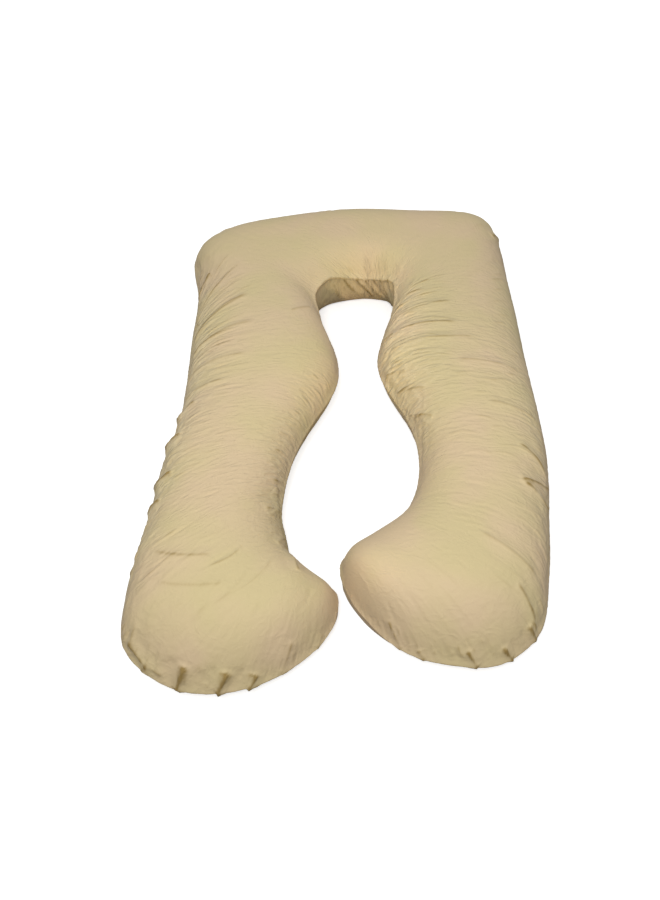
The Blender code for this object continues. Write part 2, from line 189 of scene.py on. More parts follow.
# The rings along the pillow, without its two tips, and the angles round it, as a grid of places
def gridPlaces(rings, angles):
    return np.meshgrid(rings, np.radians(angles), indexing="ij")


# The filled form on a grid of places
def gridForm(along, around):
    return filledForm(along.ravel(), around.ravel()).reshape(*along.shape, 3)


# Normals of a grid of rings: the cross product of the steps round it and along it
def gridNormals(points, closed=True):
    ahead = np.gradient(points, axis=0)
    if closed:
        sideways = (np.roll(points, -1, axis=1) - np.roll(points, 1, axis=1)) / 2
    else:
        sideways = np.gradient(points, axis=1)
    normals = np.cross(sideways, ahead)
    return normals / np.maximum(np.linalg.norm(normals, axis=2, keepdims=True), 1e-12)


fineRings = np.concatenate([np.arange(first, last, step) for first, last, step in pillow["rings"]])[1:]
fineRings = fineRings / pillow["rings"][-1][1] * length
topAngles = np.linspace(0, 180, pillow["topPoints"], endpoint=False)
along, around = gridPlaces(fineRings, np.concatenate((topAngles, pillow["underAngles"])))
form = gridForm(along, around)
tips = filledForm(np.array([0.0, length]), np.zeros(2))
centre = np.array((0.99, -18.05, 0.0)) * mm  # the CAD's origin, in the sections' own measure
degrees = np.degrees(around)
degrees = np.where(degrees > 300, degrees - 360, degrees)
print("filled form,", form.shape[0], "rings of", form.shape[1])


# How the cloth was cut and filled: a little longer than the form beneath it, so it buckles across the legs
slack = {
    "legs": 0.030,             # share that the cloth is longer than the form, along the legs
    "head": 0.006,
    "headFrom": 0.28,          # the legs end and the head begins between these two places, in metres
    "headTo": 0.42,
    "across": 0.004,
    "step": 7.0 * mm,          # the simulated cloth's ring spacing
    "angles": 46,              # and its points round each ring
    "tipGap": 30 * mm,         # and how far from the toe tips it ends
    "pressure": 4,
    "frames": 20,
    "swell": 72 * mm,          # broader swelling than this is left out, as the form has it already
    "gain": 1.3,               # the wrinkles that are left are made this much deeper
    "cap": 5 * mm,             # no point moves further than this
}


# A value on a regular grid, read between its points by the cubic B-spline's four weights in each direction
def splineRead(values, rowPlace, columnPlace):
    for axis, place in ((0, rowPlace), (1, columnPlace)):
        first = np.floor(place).astype(int)
        t = place - first
        weights = ((1 - t) ** 3, 3 * t**3 - 6 * t**2 + 4, -3 * t**3 + 3 * t**2 + 3 * t + 1, t**3)
        values = np.moveaxis(values, axis, 0)
        last = len(values) - 1
        values = sum(w[:, None] * values[np.clip(first - 1 + k, 0, last)] for k, w in enumerate(weights)) / 6
        values = np.moveaxis(values, 0, axis)
    return values


# The top cloth's movement along the form's normals, in metres: the top is a sheet held at its seams, its rest
# lengths are longer than the form's, and the filling presses it outwards
def clothMovement():
    rings = np.linspace(slack["tipGap"], length - slack["tipGap"], int(length / slack["step"]))
    angles = np.linspace(0, 180, slack["angles"])
    start = gridForm(*gridPlaces(rings, angles))
    rows, columns = start.shape[:2]
    index = np.arange(rows * columns).reshape(rows, columns)
    quads = np.stack((index[:-1, :-1], index[:-1, 1:], index[1:, 1:], index[1:, :-1]), axis=-1).reshape(-1, 4)
    sheetMesh = bpy.data.meshes.new("top_sheet")
    sheetMesh.from_pydata(start.reshape(-1, 3).tolist(), [], quads.tolist())
    sheet = bpy.data.objects.new("top_sheet", sheetMesh)
    scene.collection.objects.link(sheet)
    held = sheet.vertex_groups.new(name="seams")
    edge = np.unique(np.concatenate((index[0], index[-1], index[:, 0], index[:, -1])))
    held.add(edge.tolist(), 1.0, "REPLACE")

    # the cut cloth: stretched along y, by the legs' share or the head's
    y = start[..., 1]
    atHead = smoothStep((y - slack["headFrom"]) / (slack["headTo"] - slack["headFrom"]))
    lower = np.minimum(y, slack["headFrom"])
    cut = start.copy()
    cut[..., 0] *= 1 + slack["across"]
    cut[..., 1] = y + slack["legs"] * lower + slack["head"] * (y - lower) * atHead
    sheet.shape_key_add(name="Basis")
    key = sheet.shape_key_add(name="cut")
    key.data.foreach_set("co", cut.ravel())
    key.value = 0.0

    modifier = sheet.modifiers.new("cloth", "CLOTH")
    cloth = modifier.settings
    cloth.quality = 6
    cloth.mass = 0.25
    cloth.tension_stiffness = cloth.compression_stiffness = 25
    cloth.shear_stiffness = 8
    cloth.bending_stiffness = 0.3
    cloth.air_damping = 2
    cloth.use_pressure = True
    cloth.uniform_pressure_force = slack["pressure"]
    cloth.effector_weights.gravity = 0
    cloth.vertex_group_mass = "seams"
    cloth.rest_shape_key = key
    modifier.collision_settings.use_collision = False
    modifier.point_cache.frame_start, modifier.point_cache.frame_end = 1, slack["frames"]
    for frameNumber in range(1, slack["frames"] + 1):
        scene.frame_set(frameNumber)
    posed = sheet.evaluated_get(bpy.context.evaluated_depsgraph_get()).to_mesh()
    moved = np.empty(rows * columns * 3)
    posed.vertices.foreach_get("co", moved)
    move = moved.reshape(rows, columns, 3) - start
    scene.frame_set(1)
    bpy.data.objects.remove(sheet)
    out = (move * gridNormals(start, closed=False)).sum(axis=2)
    print("cloth moved", [round(float(v) * 1000, 2) for v in (out.min(), out.mean(), out.max())], "mm")
    window = int(slack["swell"] / slack["step"]) | 1
    padded = np.pad(out, ((window // 2, window // 2), (0, 0)), mode="edge")
    sums = np.cumsum(np.concatenate((np.zeros((1, columns)), padded)), axis=0)
    out = (out - (sums[window:] - sums[:-window]) / window) * slack["gain"]
    print("wrinkles", round(float(out.std()) * 1000, 2), "mm")
    out = np.clip(out, -slack["cap"], slack["cap"])
    ringPlace = (fineRings - rings[0]) / (rings[1] - rings[0])
    anglePlace = np.clip(degrees[0], 0, 180) / (angles[1] - angles[0])
    return splineRead(out, np.clip(ringPlace, 0, rows - 1), anglePlace)


# The main folds, each from one place to another in mm along the pillow and degrees round it, with its width
# and depth in mm. A negative depth stands out.
mainFolds = {
    "neck gather first": (1560, 2, 1700, -28, 11, 4),
    "neck gather left": (1630, 3, 1775, -28, 9, 5),
    "neck gather middle": (1690, 2, 1830, -28, 9, 5),
    "neck gather right": (1745, 3, 1890, -28, 9, 5),
    "neck gather corner": (1800, 3, 1905, -26, 9, 5),
    "neck gather last": (1862, 4, 1922, -24, 9, 4),
    "left toe notch": (72, 156, 92, 178, 13, 4),
    "left ball hollow": (139, 138, 158, 180, 20, 4),
    "left sole tuck": (191, 158, 205, 184, 17, 10),
    "left sole notch": (232, 150, 242, 182, 13, 13),
    "left heel notch": (287, 148, 290, 181, 13, 13),
    "left heel tuck": (340, 166, 346, 182, 16, 6),
    "left heel crease": (306, 168, 385, 164, 12, 6),
    "left instep crease": (153, 64, 200, 36, 12, 4),
    "left ankle crease": (287, 38, 340, 10, 13, 4),
    "left calf crease": (430, 38, 460, 6, 13, 4),
    "left calf cross": (473, 128, 360, 84, 12, 2),
    "left ankle cross": (400, 122, 290, 92, 12, 1.6),
    "left knee tuck": (621, 174, 606, 138, 14, 6),
    "left shin tuck": (676, 174, 662, 132, 15, 8),
    "left knee swell": (722, 172, 716, 152, 24, -4),
    "left thigh tuck": (776, 174, 768, 136, 15, 8),
    "left thigh swell": (812, 170, 806, 156, 20, -3),
    "left hip tuck": (850, 172, 862, 134, 14, 5),
    "left hip sweep": (905, 168, 905, 110, 10, 2.5),
    "left waist sweep": (968, 164, 985, 96, 10, 2.5),
    "left shoulder sweep low": (1036, 164, 1100, 92, 9, 3),
    "left shoulder sweep": (1080, 166, 1210, 96, 10, 4),
    "left neck sweep": (1147, 66, 1215, 34, 9, 2),
    "left corner tuck": (1240, 172, 1296, 138, 14, 6),
    "left corner swell": (1330, 170, 1336, 158, 24, -4),
    "right corner swell": (1960, 172, 1964, 158, 22, -4),
    "right corner tuck": (2010, 172, 2016, 142, 15, 5),
    "right neck sweep": (2190, 26, 2226, 92, 13, 4),
    "right shoulder sweep": (2258, 14, 2312, 98, 13, 4),
    "right hip sweep": (2330, 20, 2372, 110, 13, 3),
    "right hip crease": (2384, 8, 2430, 40, 13, 3),
    "right thigh crease": (2456, 8, 2515, 48, 13, 3.4),
    "right thigh sweep": (2470, 140, 2440, 80, 14, 3),
    "right knee crease": (2542, 6, 2615, 44, 13, 3),
    "right knee sweep": (2600, 160, 2580, 92, 14, 3),
    "right calf star": (2747, 168, 2788, 118, 15, 7),
    "right calf star high": (2735, 166, 2690, 116, 14, 5),
    "right calf star low": (2800, 168, 2790, 122, 14, 5),
    "right heel sweep": (2962, 92, 2962, 146, 13, 3),
    "right heel ray": (3004, 128, 3020, 172, 11, 3.5),
    "right heel notch": (3028, 156, 3024, 182, 10, 8),
    "right sole notch": (3078, 158, 3068, 182, 10, 8),
    "right instep notch": (3128, 154, 3118, 180, 14, 7),
    "right instep tuck": (3192, 162, 3184, 182, 13, 5),
    "right ball ray": (3232, 140, 3216, 180, 12, 4),
}

# Fine creases in families: from and to in mm along the pillow, from and to in degrees round it, how many,
# shortest and longest in degrees, lean at the family's two ends in mm along for each 90 degrees, bow in mm,
# width and depth in mm
creaseFamilies = {
    "left shoulder fan": (1000, 1290, 88, 176, 74, 26, 64, -20, -270, 0, 3.0, 2.0),
    "left thigh, across": (640, 1060, 84, 176, 80, 12, 46, 16, -40, -8, 3.0, 1.3),
    "left knee, across": (420, 760, 70, 176, 60, 12, 46, 22, 10, -12, 3.0, 1.3),
    "left foot, smiles": (250, 480, 50, 150, 14, 24, 60, 60, 20, -22, 4.0, 1.2),
    "left hip, inner": (520, 960, 4, 50, 90, 10, 28, -70, 50, 0, 3.0, 1.8),
    "left leg, outer edge": (380, 1320, 146, 180, 130, 8, 24, 30, -60, 0, 3.2, 2.0),
    "left calf, inner edge": (200, 560, 4, 44, 30, 12, 30, -70, -90, 0, 4.3, 1.6),
    "left foot rim": (30, 410, 140, 184, 40, 12, 34, 20, -20, 0, 3.6, 2.0),
    "left foot, rays": (80, 400, 80, 150, 18, 16, 36, 20, 40, 0, 4.0, 0.7),
    "neck wall": (1500, 1900, -34, 4, 40, 14, 28, -420, -260, 0, 5.5, 1.8),
    "neck rays": (1760, 2060, 8, 56, 16, 14, 32, -90, 20, 0, 5.0, 1.1),
    "head, across": (1350, 2000, 60, 176, 34, 20, 60, 10, -20, 0, 6.5, 0.8),
    "right shoulder fan": (2080, 2460, 4, 100, 84, 26, 76, 70, 40, -18, 3.2, 1.5),
    "right shoulder, outer edge": (2020, 2560, 120, 178, 80, 12, 34, -50, -60, 0, 4.3, 1.3),
    "right thigh, across": (2380, 2780, 20, 174, 80, 20, 62, 30, -16, -16, 3.2, 1.3),
    "right thigh, inner edge": (2360, 2700, 2, 46, 60, 12, 34, 80, 60, 0, 3.4, 1.6),
    "right leg, outer edge": (2540, 2960, 130, 178, 46, 12, 34, -70, 50, 0, 4.7, 1.6),
    "right calf, across": (2740, 2990, 40, 150, 24, 24, 60, -30, -50, -14, 4.7, 1.1),
    "right foot rim": (2960, 3320, 140, 184, 42, 12, 34, -20, 20, 0, 3.6, 2.0),
    "right foot, rays": (2970, 3270, 70, 150, 22, 20, 50, -30, -20, 0, 4.7, 0.9),
}


# How the cloth lies. One row for each place along the pillow, in mm: how far a fine crease leans towards the
# head end over 90 degrees, its bow, and how creased the cloth is at its inner side, crown and outer side
lieColumns = ("place", "lean", "bow", "inner", "crown", "outer")
lie = {
    "left toe": (0, 10, 0, 0.2, 0.06, 0.3),
    "left foot": (200, 20, -20, 0.3, 0.06, 0.3),
    "left ankle": (360, 30, -24, 0.6, 0.2, 0.6),
    "left calf": (480, 24, -18, 0.9, 0.45, 0.9),
    "left knee": (650, 12, -10, 0.9, 0.5, 1.2),
    "left thigh": (850, -8, -4, 0.7, 0.45, 1.2),
    "left hip": (1000, -40, 0, 0.35, 0.35, 1.2),
    "left shoulder": (1140, -110, 0, 0.15, 0.4, 1.2),
    "left neck": (1270, -150, 0, 0.3, 0.3, 0.9),
    "left corner": (1400, -60, 0, 0.6, 0.10, 0.3),
    "head": (1700, -160, 0, 0.9, 0.08, 0.2),
    "right corner": (2000, 60, -10, 0.7, 0.15, 0.4),
    "right shoulder": (2180, 70, -24, 1.1, 0.5, 0.5),
    "right hip": (2400, 40, -20, 1.1, 0.6, 0.6),
    "right thigh": (2600, 4, -16, 0.9, 0.5, 0.9),
    "right calf": (2820, -30, -14, 0.5, 0.25, 0.8),
    "right foot": (3100, -30, 0, 0.25, 0.06, 0.35),
    "right toe": (3345, -10, 0, 0.2, 0.06, 0.3),
}


# A column of the table above, read along the pillow by straight lines from row to row
def lieAt(column):
    rows = np.array(list(lie.values()), float)
    return np.interp(along[:, 0] / mm, rows[:, 0], rows[:, lieColumns.index(column)])[:, None]


# Smooth noise between -1 and 1: random values on a square lattice, blended by smooth steps
def latticeNoise(u, v, seed):
    values = np.random.default_rng(seed).uniform(-1, 1, (256, 256))
    row, column = np.floor(u).astype(int), np.floor(v).astype(int)
    s, t = smoothStep(u - row), smoothStep(v - column)
    near = values[row % 256, column % 256] * (1 - t) + values[row % 256, (column + 1) % 256] * t
    far = values[(row + 1) % 256, column % 256] * (1 - t) + values[(row + 1) % 256, (column + 1) % 256] * t
    return near * (1 - s) + far * s


# Arc length round each ring from the crown, in metres
arcSteps = np.linalg.norm(np.roll(form, -1, axis=1) - form, axis=2)
arc = np.cumsum(arcSteps, axis=1) - arcSteps
arc -= arc[:, [pillow["topPoints"] // 2]]

# Where each point lies across and along the fine creases that pass it, in metres
acrossCrease = along - (lieAt("lean") * (degrees - 90) / 90 + lieAt("bow") * np.sin(around)) * mm

# How creased each point is: a smooth rise from the inner side to the crown and on to the outer side, and
# nothing further under the outer seam than this many degrees
creasedTo = 200
innerCreased, crownCreased, outerCreased = (lieAt(column) for column in ("inner", "crown", "outer"))
creased = np.where(degrees < 90,
                   innerCreased + (crownCreased - innerCreased) * smoothStep(degrees / 90),
                   crownCreased + (outerCreased - crownCreased) * smoothStep(degrees / 90 - 1))
creased = creased * (degrees < creasedTo)

# The finest creases that have a shape: each layer is a sharp line where smooth noise, drawn out along the
# creases, passes through zero. Spacing and length in mm, sharpness in mm, depth in mm
fineLayers = {
    "long": (24, 90, 3.4, 0.8),
    "middle": (12, 42, 2.8, 0.6),
}
fineWander = {
    "share": 0.35,             # how far the lines wander, in spacings, and the size of that wandering
    "across": 60 * mm,
    "around": 45 * mm,
    "run": 0.55,               # spacings that the noise usually takes to rise by one
}


# Sharp valleys and ridges: depth * exp(-distance / sharpness), where the distance to the noise's zero line is
# the noise times its usual run, fading in and out along each line by a slower noise
def fineCreases(spacing, reach, sharpness, depth, seed):
    wander = latticeNoise(acrossCrease / fineWander["across"], arc / fineWander["around"], seed + 1)
    u = acrossCrease / (spacing * mm) + fineWander["share"] * wander
    v = arc / (reach * mm)
    noise = latticeNoise(u, v, seed)
    distance = np.abs(noise) * spacing * fineWander["run"]
    strength = smoothStep(0.5 + 0.9 * latticeNoise(u * 0.31 + 40, v * 1.7 + 40, seed + 2))
    side = np.sign(latticeNoise(u * 0.23 + 90, v * 0.8 + 90, seed + 3) - 0.15)
    return depth * mm * strength * side * np.exp(-distance / sharpness)


# A crease's own line: straight in along and around, bowed in the middle, on the filled form
def creaseLine(start, end, bow, points=9):
    share = np.linspace(0, 1, points)
    lineAlong = (start[0] + (end[0] - start[0]) * share + bow * np.sin(np.pi * share)) * mm
    lineAround = np.radians(start[1] + (end[1] - start[1]) * share)
    return filledForm(np.clip(lineAlong, 0, length), lineAround)


# Distance of each point from a line of short straight runs, and how far along the line its nearest place is
def distanceToLine(points, line):
    nearest = np.full(len(points), np.inf)
    place = np.zeros(len(points))
    for i in range(len(line) - 1):
        run = line[i + 1] - line[i]
        share = np.clip((points - line[i]) @ run / max(run @ run, 1e-12), 0, 1)
        gap = np.linalg.norm(points - line[i] - share[:, None] * run, axis=1)
        closer = gap < nearest
        nearest = np.where(closer, gap, nearest)
        place = np.where(closer, (i + share) / (len(line) - 1), place)
    return nearest, place


# The low ridge beside a crease: its height for each mm of depth, and its distance from the bottom in widths
ridgeShare = 0.35
ridgePlace = 2.1


# One crease: a sharp valley, exp(-(distance / width) ^ sharp), with the low ridge beside it,
# exp(-(distance / width - ridgePlace) ^ 2), dying away at its ends
def addCrease(height, start, end, bow, width, depth, taper=0.35, reach=60, sharp=1.3):
    first, last = sorted((start[0], end[0]))
    margin = abs(bow) + reach
    rows = (fineRings > (first - margin) * mm) & (fineRings < (last + margin) * mm)
    if not rows.any():
        return
    gap, place = distanceToLine(form[rows].reshape(-1, 3), creaseLine(start, end, bow))
    gap = gap / (width * mm)
    valley = np.exp(-(gap**sharp))
    ridge = np.exp(-((gap - ridgePlace) ** 2))
    ends = smoothStep(np.minimum(place, 1 - place) / taper)
    height[rows] += (depth * mm * (ridgeShare * ridge - valley) * ends).reshape(height[rows].shape)


height = np.zeros(along.shape)
height += clothMovement() * np.clip(creased, 0, 1) ** 2

# A main fold is a broad soft valley with a crisp crease at its bottom, which takes these shares of its depth
softShare = 0.7
crispShare = 0.3
crispWidth = 3.2
for startAlong, startAround, endAlong, endAround, width, depth in mainFolds.values():
    start, end = (startAlong, startAround), (endAlong, endAround)
    addCrease(height, start, end, 0, width, softShare * depth, taper=0.15, sharp=2)
    addCrease(height, start, end, 0, crispWidth, crispShare * depth, taper=0.2)
print("main folds", len(mainFolds))

# How far one crease of a family differs from the next: its lean in mm, and shares of its bow, width and depth
variety = {
    "lean": 8,
    "bow": (0.5, 1.4),
    "width": (0.7, 1.3),
    "depth": (0.3, 1.0),
    "valleys": 0.5,            # share of the creases that dip
    "standing": -0.9,          # and how high the others stand for each mm of depth
}
rng = np.random.default_rng(11)
for family in creaseFamilies.values():
    first, last, near, far, count, shortest, longest, leanFirst, leanLast, bow, width, depth = family
    for _ in range(count):
        share = rng.random()
        span = min(rng.uniform(shortest, longest), far - near)
        startAround = rng.uniform(near, far - span)
        lean = leanFirst + (leanLast - leanFirst) * share + rng.normal(0, variety["lean"])
        lean = lean * span / 90
        middle = first + (last - first) * share
        addCrease(
            height,
            (middle - lean / 2, startAround),
            (middle + lean / 2, startAround + span),
            bow * (span / 60) * rng.uniform(*variety["bow"]),
            width * rng.uniform(*variety["width"]),
            depth * rng.uniform(*variety["depth"])
            * (1 if rng.random() < variety["valleys"] else variety["standing"]),
        )
print("creases", sum(family[4] for family in creaseFamilies.values()))

fineHeight = sum(fineCreases(*layer, seed=100 * i) for i, layer in enumerate(fineLayers.values()))
height += fineHeight * creased

# Folds die away on the flat underside and at the tips, and only dip at a lens's edge, where the seam holds
# them
innerRim, outerRim = (railAt(place.ravel()).reshape(*along.shape, 6)
                      for place in (along, 2 * length - along))
seamHeight = innerRim[..., 2] + (outerRim[..., 2] - innerRim[..., 2]) * (1 - np.cos(around)) / 2
fromSeam = np.abs(form[..., 2] - seamHeight)
fromTip = np.minimum(along, length - along)
height *= smoothStep(form[..., 2] / pillow["flatFade"]) * smoothStep(fromTip / pillow["tipFade"])
lensEdge = smoothStep((outerRim[..., 5] - pillow["roundPower"]) / pillow["holdSpan"]) * (degrees > 90)
held = lensEdge * np.exp(-((fromSeam / pillow["lensHold"]) ** 2))
height = np.where(height > 0, height * (1 - held), height * (1 - pillow["dipHeld"] * held))

# The stitched seam draws the cloth in: a soft hollow, a sharp line at its bottom and a pucker at every stitch
seam = {
    "depth": 3.0 * mm,
    "reach": 9 * mm,
    "line": 1.6 * mm,
    "lineReach": 2.2 * mm,
    "pucker": 0.35 * mm,
    "puckerReach": 12 * mm,
    "puckerSpacing": 11 * mm,  # along the seam
    "puckerAcross": 60,        # degrees round the pillow
    "tipFade": 50 * mm,
}
atSide = np.abs(np.cos(around)) > pillow["contact"]
pinch = seam["depth"] * np.exp(-((fromSeam / seam["reach"]) ** 2))
pinch += seam["line"] * np.exp(-fromSeam / seam["lineReach"])
stitches = latticeNoise(along / seam["puckerSpacing"] * 2, degrees / seam["puckerAcross"], 7)
pinch += seam["pucker"] * stitches * np.exp(-((fromSeam / seam["puckerReach"]) ** 2))
height -= pinch * atSide * smoothStep(fromTip / seam["tipFade"])

surface = form + gridNormals(form) * height[..., None] - centre
surface[..., 2] = np.maximum(surface[..., 2], 0.0)
tips = tips - centre


# The closed mesh of a grid of rings with a point at each tip
def ringMesh(name, rings, tips):
    ringCount, pointCount = rings.shape[:2]
    index = np.arange(ringCount * pointCount).reshape(ringCount, pointCount)
    following = np.roll(index, -1, axis=1)
    quads = np.stack((index[:-1], index[1:], following[1:], following[:-1]), axis=-1).reshape(-1, 4)
    firstTip, lastTip = ringCount * pointCount, ringCount * pointCount + 1
    firstFan = np.stack((np.full(pointCount, firstTip), index[0], following[0]), axis=-1)
    lastFan = np.stack((np.full(pointCount, lastTip), following[-1], index[-1]), axis=-1)
    mesh = bpy.data.meshes.new(name)
    faces = quads.tolist() + firstFan.tolist() + lastFan.tolist()
    mesh.from_pydata(np.concatenate((rings.reshape(-1, 3), tips)).tolist(), [], faces)
    mesh.shade_smooth()
    return mesh


mesh = ringMesh("pillow_cover", surface, tips)
cover = bpy.data.objects.new("pillow_cover", mesh)
scene.collection.objects.link(cover)


# UV maps in metres, written for each face's corners so that they run on over the place where a ring closes:
# one laid out as the panel was cut, for the weave, and one that follows the creases
def layOut(mesh, name, u, v):
    u = np.concatenate((u, u[:, :1] + arcSteps.sum(axis=1, keepdims=True)), axis=1)
    v = np.concatenate((v, v[:, :1]), axis=1)
    grid = np.stack((u, v), axis=-1)
    corners = np.stack((grid[:-1, :-1], grid[1:, :-1], grid[1:, 1:], grid[:-1, 1:]), axis=2).reshape(-1, 2)
    firstTip, lastTip = grid[0, :-1].mean(axis=0), grid[-1, :-1].mean(axis=0)
    firstFan = np.stack((np.broadcast_to(firstTip, grid[0, :-1].shape), grid[0, :-1], grid[0, 1:]), axis=1)
    lastFan = np.stack((np.broadcast_to(lastTip, grid[-1, :-1].shape), grid[-1, 1:], grid[-1, :-1]), axis=1)
    places = np.concatenate((corners, firstFan.reshape(-1, 2), lastFan.reshape(-1, 2)))
    mesh.uv_layers.new(name=name).uv.foreach_set("vector", places.ravel())


# A value for each point, with one for each tip, as an attribute that the cloth's material reads
def pointValue(mesh, name, values, atTips):
    attribute = mesh.attributes.new(name, "FLOAT", "POINT")
    attribute.data.foreach_set("value", np.concatenate((values.ravel(), [atTips, atTips])))


layOut(mesh, "panel", arc, along)
layOut(mesh, "creases", arc, acrossCrease)


# How deep creases and folds are marked for the shade painted into them: points away, depth that counts in
# full, and share
paintedShadeMarks = {
    "creases": (2, 1.2 * mm, 0.4),
    "folds": (7, 4 * mm, 0.6),
}


# How far each point lies below the cloth a few points away on its four sides
def below(steps):
    return sum(np.roll(height, step, axis=axis) for step in (steps, -steps) for axis in (0, 1)) / 4 - height


# painted shade: the deeper a point lies in a crease or fold, the more its colour darkens
hollow = sum(share * np.clip(below(steps) / full, 0, 1) for steps, full, share in paintedShadeMarks.values())
pointValue(mesh, "hollow", hollow, 0.0)
pointValue(mesh, "creased", creased, 0.5)


# sRGB hex to linear
def linearColour(hexCode):
    srgb = [int(hexCode[i:i + 2], 16) / 255 for i in (1, 3, 5)]
    return [c / 12.92 if c <= 0.04045 else ((c + 0.055) / 1.055) ** 2.4 for c in srgb] + [1.0]


# Adds a node with its settings and links
def addNode(tree, kind, settings=None, links=None):
    node = tree.nodes.new(kind)
    for key, value in (settings or {}).items():
        if isinstance(key, int) or key in node.inputs:
            node.inputs[key].default_value = value
        else:
            setattr(node, key, value)
    for key, source in (links or {}).items():
        tree.links.new(source, node.inputs[key])
    return node


# Plain-woven khaki cotton, garment-washed: matte, with a short nap that lightens grazing edges, uneven dye
# that drifts between pinkish and greenish beige, and fine sharp creases from the wash, paler along their
# raised edges, partly rubbed and partly a painted highlight, and darker in their hollows, which is painted
# shade
cotton = {
    "beige": "#d6c298",
    "pinkish": "#d8c19c",
    "greenish": "#d3c294",
    # the pale colour of the raised crease edges: partly rubbed, partly a painted highlight
    "wearAndHighlight": "#e6d5ac",
    # the dark colour of the shade painted into creases and folds
    "crease": "#9b824e",
    "drift": 0.16,             # metres from one tint to the next
    "driftFrom": 0.36,         # the noise values of the two outer tints
    "driftTo": 0.64,
    "threads": 1.4 * mm,       # real threads are 0.35 mm apart, drawn four times as coarse to show at all
    "threadRelief": 0.15 * mm,
    "threadStrength": 0.12,
    "lineSpacing": 13 * mm,    # the finest creases, which are only drawn: their spacing, length and relief
    "lineLength": 48 * mm,
    "lineRelief": 1.6 * mm,
    "wearAndHighlightFrom": 0.75,          # values of the lines between which their edges pale, rubbed and a painted highlight, and how far they do
    "wearAndHighlightTo": 1.5,
    "wearAndHighlightShare": 0.7,
    "crumple": 22 * mm,        # the size and relief of the crumple that has no direction
    "crumpleRelief": 0.9 * mm,
    "crumpleStrength": 0.5,
    "paintedShadePower": 1.7,        # how much faster the painted shade darkens a deep fold than a shallow one
    "roughness": 0.86,
    "sheen": 0.12,
    "sheenRoughness": 0.5,
    "specular": 0.25,
}


